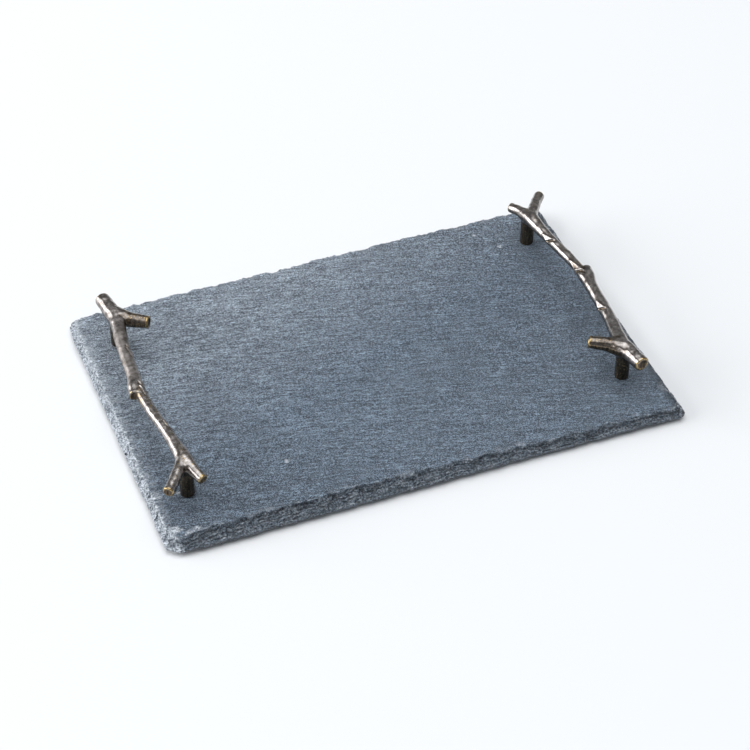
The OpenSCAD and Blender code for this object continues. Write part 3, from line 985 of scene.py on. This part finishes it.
def slate_material():
    """Blue-grey slate with streaks along its grain, a painted sheen towards the back, painted shade at the
    front left, towards the right and along the right end, and paler bruised stone where its edge is dressed.
    """
    material, tree, shader = new_material("slate")
    where = add_node(tree, "ShaderNodeTexCoord").outputs["Object"]
    turned = add_node(tree, "ShaderNodeMapping", {
        "Vector": where, "Rotation": (0, 0, GRAIN_ANGLE),
    }, vector_type="TEXTURE").outputs["Vector"]
    along, across, up = add_node(tree, "ShaderNodeSeparateXYZ", {"Vector": turned}).outputs
    bent = sums(tree, "MULTIPLY", sums(tree, "MULTIPLY", along, along), GRAIN_BEND / MM)
    across = sums(tree, "ADD", across, bent)

    def grained(stretch, *texture):
        """Noise drawn out along the grain."""
        places = {"X": sums(tree, "DIVIDE", along, stretch), "Y": across, "Z": up}
        drawn = add_node(tree, "ShaderNodeCombineXYZ", places).outputs["Vector"]
        return noise_node(tree, drawn, *texture)

    streaks = grained(*SLATE_STREAKS)
    grain = grained(*SLATE_GRAIN)
    long_streaks = grained(*SLATE_LONG_STREAKS)
    specks = grained(*SLATE_SPECKS)
    clouds = noise_node(tree, where, *SLATE_CLOUDS)
    grit = noise_node(tree, where, *SLATE_GRIT)
    flecks = noise_node(tree, where, *SLATE_FLECKS)
    blotches = noise_node(tree, where, *SLATE_BLOTCHES)
    right, back, _ = add_node(tree, "ShaderNodeSeparateXYZ", {"Vector": where}).outputs
    back = sums(tree, "SUBTRACT", back, sums(tree, "MULTIPLY", right, SHEEN_SLANT))
    pale = attribute(tree, "pale")

    leftward = spread(tree, right, -0.15, 0.08, 1.0, 0.45)
    front_left_falloff = sums(tree, "ADD", back, right)
    shade = sums(tree, "MULTIPLY", spread(tree, streaks, 0.38, 0.62, -0.11, 0.11), leftward)
    for value, low, high, to_low, to_high in (
        (grain, 0.49, 0.58, 0.08, 0.72),
        (long_streaks, 0.35, 0.65, -0.11, 0.11),
        (specks, 0.67, 0.72, 0, 0.6),
        # Painted shade: the next two rows darken the face at the front left and towards the right
        (front_left_falloff, -0.13, -0.07, -0.09, 0),
        (right, 0, 0.1, 0, -0.06),
    ):
        shade = sums(tree, "ADD", shade, spread(tree, value, low, high, to_low, to_high))
    # Painted sheen: the face runs paler and less blue towards the back
    sheen_share = spread(tree, back, 0, 0.1)
    darkest = mix(tree, sheen_share, *SLATE_DARKEST)
    palest = mix(tree, sheen_share, *SLATE_PALEST)
    face = mix(tree, shade, darkest, palest)
    # Painted shade: a dark ragged band along the right end, for its bevel turned away from the light
    edge = sums(tree, "ADD", right, sums(tree, "MULTIPLY", blotches, 0.008))
    face = mix(tree, spread(tree, edge, 0.1445, 0.1475, 0, 0.8), face, SLATE_RIGHT_END_SHADE)
    face = mix(tree, spread(tree, clouds, 0.35, 0.65, 0, 0.2), face, SLATE_CLOUD)
    face = mix(tree, spread(tree, blotches, 0.52, 0.66, 0, 0.12), face, SLATE_BLOTCH)
    broken = mix(tree, spread(tree, grit, 0.46, 0.60), *SLATE_BROKEN)
    # Dark lines at the foot of each riser: cracked stone with painted crevice shade
    broken = mix(tree, sums(tree, "MULTIPLY", attribute(tree, "crack_and_shade"), 0.9), broken, SLATE_CRACK_AND_SHADE)
    face = mix(tree, sums(tree, "MULTIPLY", attribute(tree, "raw"), 0.85), face, broken)
    bruise = mix(tree, spread(tree, grit, 0.38, 0.62), *SLATE_BRUISE)
    cover = spread(tree, blotches, 0.35, 0.65, -0.3, 0.5)
    cover = sums(tree, "ADD", spread(tree, flecks, 0.3, 0.7, 0.3, 1.2), cover)
    cover = sums(tree, "MULTIPLY", pale, cover)
    colour = mix(tree, spread(tree, cover, 0.1, 0.8), face, bruise)
    tree.links.new(colour, shader.inputs["Base Color"])
    tree.links.new(spread(tree, streaks, 0.3, 0.7, 0.37, 0.52), shader.inputs["Roughness"])
    shader.inputs["Specular IOR Level"].default_value = 0.7

    normal = bump(tree, streaks, STREAK_RELIEF)
    normal = bump(tree, grain, GRAIN_RELIEF, normal)
    tree.links.new(normal, shader.inputs["Normal"])
    return material


def bronze_material():
    """Cast metal with a dark patina and gold where it is worn; its dark share also holds painted shade on
    undersides and posts and a painted dark reflection on the branch and tip discs.
    """
    material, tree, shader = new_material("bronze")
    where = add_node(tree, "ShaderNodeTexCoord").outputs["Object"]
    streaked = add_node(tree, "ShaderNodeMapping", {
        "Vector": where, "Scale": (1, 1, 0.12),
    }).outputs["Vector"]
    patches = noise_node(tree, where, *BRONZE_PATCHES)
    mottle = noise_node(tree, where, *BRONZE_MOTTLE)
    streaks = noise_node(tree, streaked, *BRONZE_STREAKS)
    worn = attribute(tree, "worn")
    dark = attribute(tree, "dark")

    tone = spread(tree, patches, 0.38, 0.62)
    metal = mix(tree, tone, *BRONZE_METAL)
    # Dark patina colour, which also carries the painted shade and painted reflection of the dark share
    patina_and_shade = mix(tree, spread(tree, streaks, 0.35, 0.7), *BRONZE_PATINA_AND_SHADE)
    metal = mix(tree, dark, metal, patina_and_shade)
    gilt = sums(tree, "ADD", mottle, sums(tree, "MULTIPLY", worn, 0.28))
    gilt = spread(tree, gilt, 0.68, 0.77)
    metal = mix(tree, gilt, metal, BRONZE_GILT)
    tree.links.new(metal, shader.inputs["Base Color"])
    shader.inputs["Metallic"].default_value = 1.0
    rough = sums(tree, "ADD", attribute(tree, "dull"), spread(tree, patches, 0.3, 0.7, -0.04, 0.06))
    tree.links.new(rough, shader.inputs["Roughness"])
    normal = bump(tree, mottle, 0.012)
    tree.links.new(normal, shader.inputs["Normal"])
    return material


def steel_material():
    """Bright zinc plating with a little tarnish."""
    material, tree, shader = new_material("steel")
    where = add_node(tree, "ShaderNodeTexCoord").outputs["Object"]
    tarnish = noise_node(tree, where, *STEEL_TARNISH)
    scratches = noise_node(tree, where, *STEEL_SCRATCHES)
    metal = mix(tree, spread(tree, tarnish, 0.35, 0.7), *STEEL_PLATING)
    tree.links.new(metal, shader.inputs["Base Color"])
    shader.inputs["Metallic"].default_value = 1.0
    tree.links.new(spread(tree, scratches, 0.3, 0.7, 0.24, 0.42), shader.inputs["Roughness"])
    tree.links.new(bump(tree, scratches, 0.02), shader.inputs["Normal"])
    return material


def rubber_material():
    """Matt black rubber with a fine moulded grain and some dust."""
    material, tree, shader = new_material("rubber")
    where = add_node(tree, "ShaderNodeTexCoord").outputs["Object"]
    dust = noise_node(tree, where, *RUBBER_DUST)
    grain = noise_node(tree, where, *RUBBER_GRAIN)
    tone = mix(tree, spread(tree, dust, 0.4, 0.75), *RUBBER_TONES)
    tree.links.new(tone, shader.inputs["Base Color"])
    tree.links.new(spread(tree, dust, 0.3, 0.7, 0.65, 0.85), shader.inputs["Roughness"])
    tree.links.new(bump(tree, grain, 0.03), shader.inputs["Normal"])
    return material


def floor_material():
    """Plain pale paper."""
    material, _, shader = new_material("floor")
    shader.inputs["Base Color"].default_value = FLOOR_COLOUR
    shader.inputs["Roughness"].default_value = 0.95
    shader.inputs["Specular IOR Level"].default_value = 0.1
    return material


# Scene

def make_camera():
    """The camera of the photograph."""
    azimuth, elevation = math.radians(CAMERA_AZIMUTH), math.radians(CAMERA_ELEVATION)
    back = Vector((
        math.sin(azimuth) * math.cos(elevation),
        -math.cos(azimuth) * math.cos(elevation),
        math.sin(elevation),
    ))
    camera = bpy.data.objects.new("camera", bpy.data.cameras.new("camera"))
    camera.data.sensor_width = SENSOR_WIDTH
    camera.data.lens = CAMERA_LENS
    camera.location = (Vector(CAMERA_TARGET) + back * CAMERA_DISTANCE) * MM
    camera.rotation_euler = (-back).to_track_quat("-Z", "Y").to_euler()
    bpy.context.scene.collection.objects.link(camera)
    bpy.context.scene.camera = camera


def make_window():
    """A wide, low window of soft light on the left, a little to the back."""
    light = bpy.data.lights.new("window", "AREA")
    light.shape = "RECTANGLE"
    light.size, light.size_y = WINDOW_SIZE
    light.energy = WINDOW_LIGHT * math.pi * WINDOW_SIZE[0] * WINDOW_SIZE[1]
    way = Vector((-math.sin(WINDOW_AZIMUTH), math.cos(WINDOW_AZIMUTH), 0))
    lamp = bpy.data.objects.new("window", light)
    lamp.location = way * WINDOW_DISTANCE + Vector((0, 0, WINDOW_SIZE[1] / 2))
    lamp.rotation_euler = (-way).to_track_quat("-Z", "Y").to_euler()
    lamp.visible_camera = False
    bpy.context.scene.collection.objects.link(lamp)


def make_world():
    """A dim room with a bright ceiling panel overhead."""
    world = bpy.data.worlds.new("studio")
    world.use_nodes = True
    tree = world.node_tree
    way = add_node(tree, "ShaderNodeTexCoord").outputs["Generated"]
    height = add_node(tree, "ShaderNodeSeparateXYZ", {"Vector": way}).outputs["Z"]
    light = spread(tree, height, *PANEL_EDGE, ROOM_LIGHT, PANEL_LIGHT)
    tree.links.new(light, tree.nodes["Background"].inputs["Strength"])
    tree.nodes["Background"].inputs["Color"].default_value = ROOM_COLOUR
    bpy.context.scene.world = world


def make_floor():
    """A wide pale floor, which is stage and not part of the board."""
    mesh = bpy.data.meshes.new("floor")
    corners = [(x * FLOOR_REACH, y * FLOOR_REACH, 0) for x, y in CORNER_SIDES]
    mesh.from_pydata(corners, [], [(0, 1, 2, 3)])
    mesh.materials.append(floor_material())
    floor = bpy.data.objects.new("floor", mesh)
    bpy.context.scene.collection.objects.link(floor)


def make_board():
    """The slab, with a broken edge in flat facets and a smooth face."""
    points, faces, edge_faces, shares = slate_mesh()
    board = make_piece("riven_slate", points, faces, slate_material(), "slate_board", shares)
    smooth = np.arange(len(board.data.polygons)) >= edge_faces
    board.data.polygons.foreach_set("use_smooth", smooth)


def make_handles():
    """Both handles from one pattern, the right one turned half round and better polished."""
    twig, faces, proud, disc, rim, upright = twig_mesh()
    bronze = bronze_material()
    on_post = 1 - step(twig[:, 2], *POST_BAND)
    branch = step(twig[:, 0], *BRANCH_SIDE) * step(twig[:, 1], *BRANCH_END)
    at_end = step(np.abs(twig[:, 1]), *WORN_ENDS)
    lower_top = step(-twig[:, 1], *RUBBED_FRONT) * step(upright, *RUBBED_TOP)
    gold = at_end * step(proud, *WORN_EDGES) + GOLD_RIM * rim
    gold = gold + GOLD_POST * on_post + GOLD_BRANCH * branch + GOLD_TOP * lower_top
    gold = np.clip(gold - disc, 0, 1)
    crevice = step(-proud, *CREVICES)
    # Patina in the crevices, unbuffed patina with painted shade on the posts under the twig, and painted
    # shade on faces that look down
    dark = crevice + POST_PATINA_AND_SHADE * on_post + UNDERSIDE_SHADE * step(-upright, *UNDERSIDE)
    # Painted dark reflection on the tip discs, over patina in their dishes, and on the branch
    dark = dark + disc + DARK_RIM * rim + BRANCH_DARK_REFLECTION * branch
    matt = step(twig[:, 1], *MATT_START) * (1 - step(twig[:, 1], *MATT_END))
    for side, polish, patina in FINISHES:
        x, y, turn = HANDLE_PLACES[side]
        cos, sin = math.cos(turn), math.sin(turn)
        turned = np.array(((cos, sin, 0), (-sin, cos, 0), (0, 0, 1)))
        points = twig @ turned + (x, y, SLATE_HIGH[2])
        shares = {
            "worn": gold,
            "dark": np.clip(dark + patina * matt, 0, 1),
            "dull": polish + patina * matt + DISC_DULLNESS * disc,
        }
        name = "twig_casting_" + side
        piece = make_piece(name, points, faces.tolist(), bronze, "handle_" + side, shares)
        piece.data.polygons.foreach_set("use_smooth", np.ones(len(faces), bool))


make_board()
make_handles()
steel = steel_material()
finishes = {"screw": steel, "washer": steel, "foot": rubber_material()}
for name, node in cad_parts.items():
    finish = finishes.get(name.split("_")[0])
    if finish:
        node.data.materials[0] = finish

make_camera()
make_floor()
make_world()
make_window()
bpy.context.scene.view_settings.view_transform = "Standard"
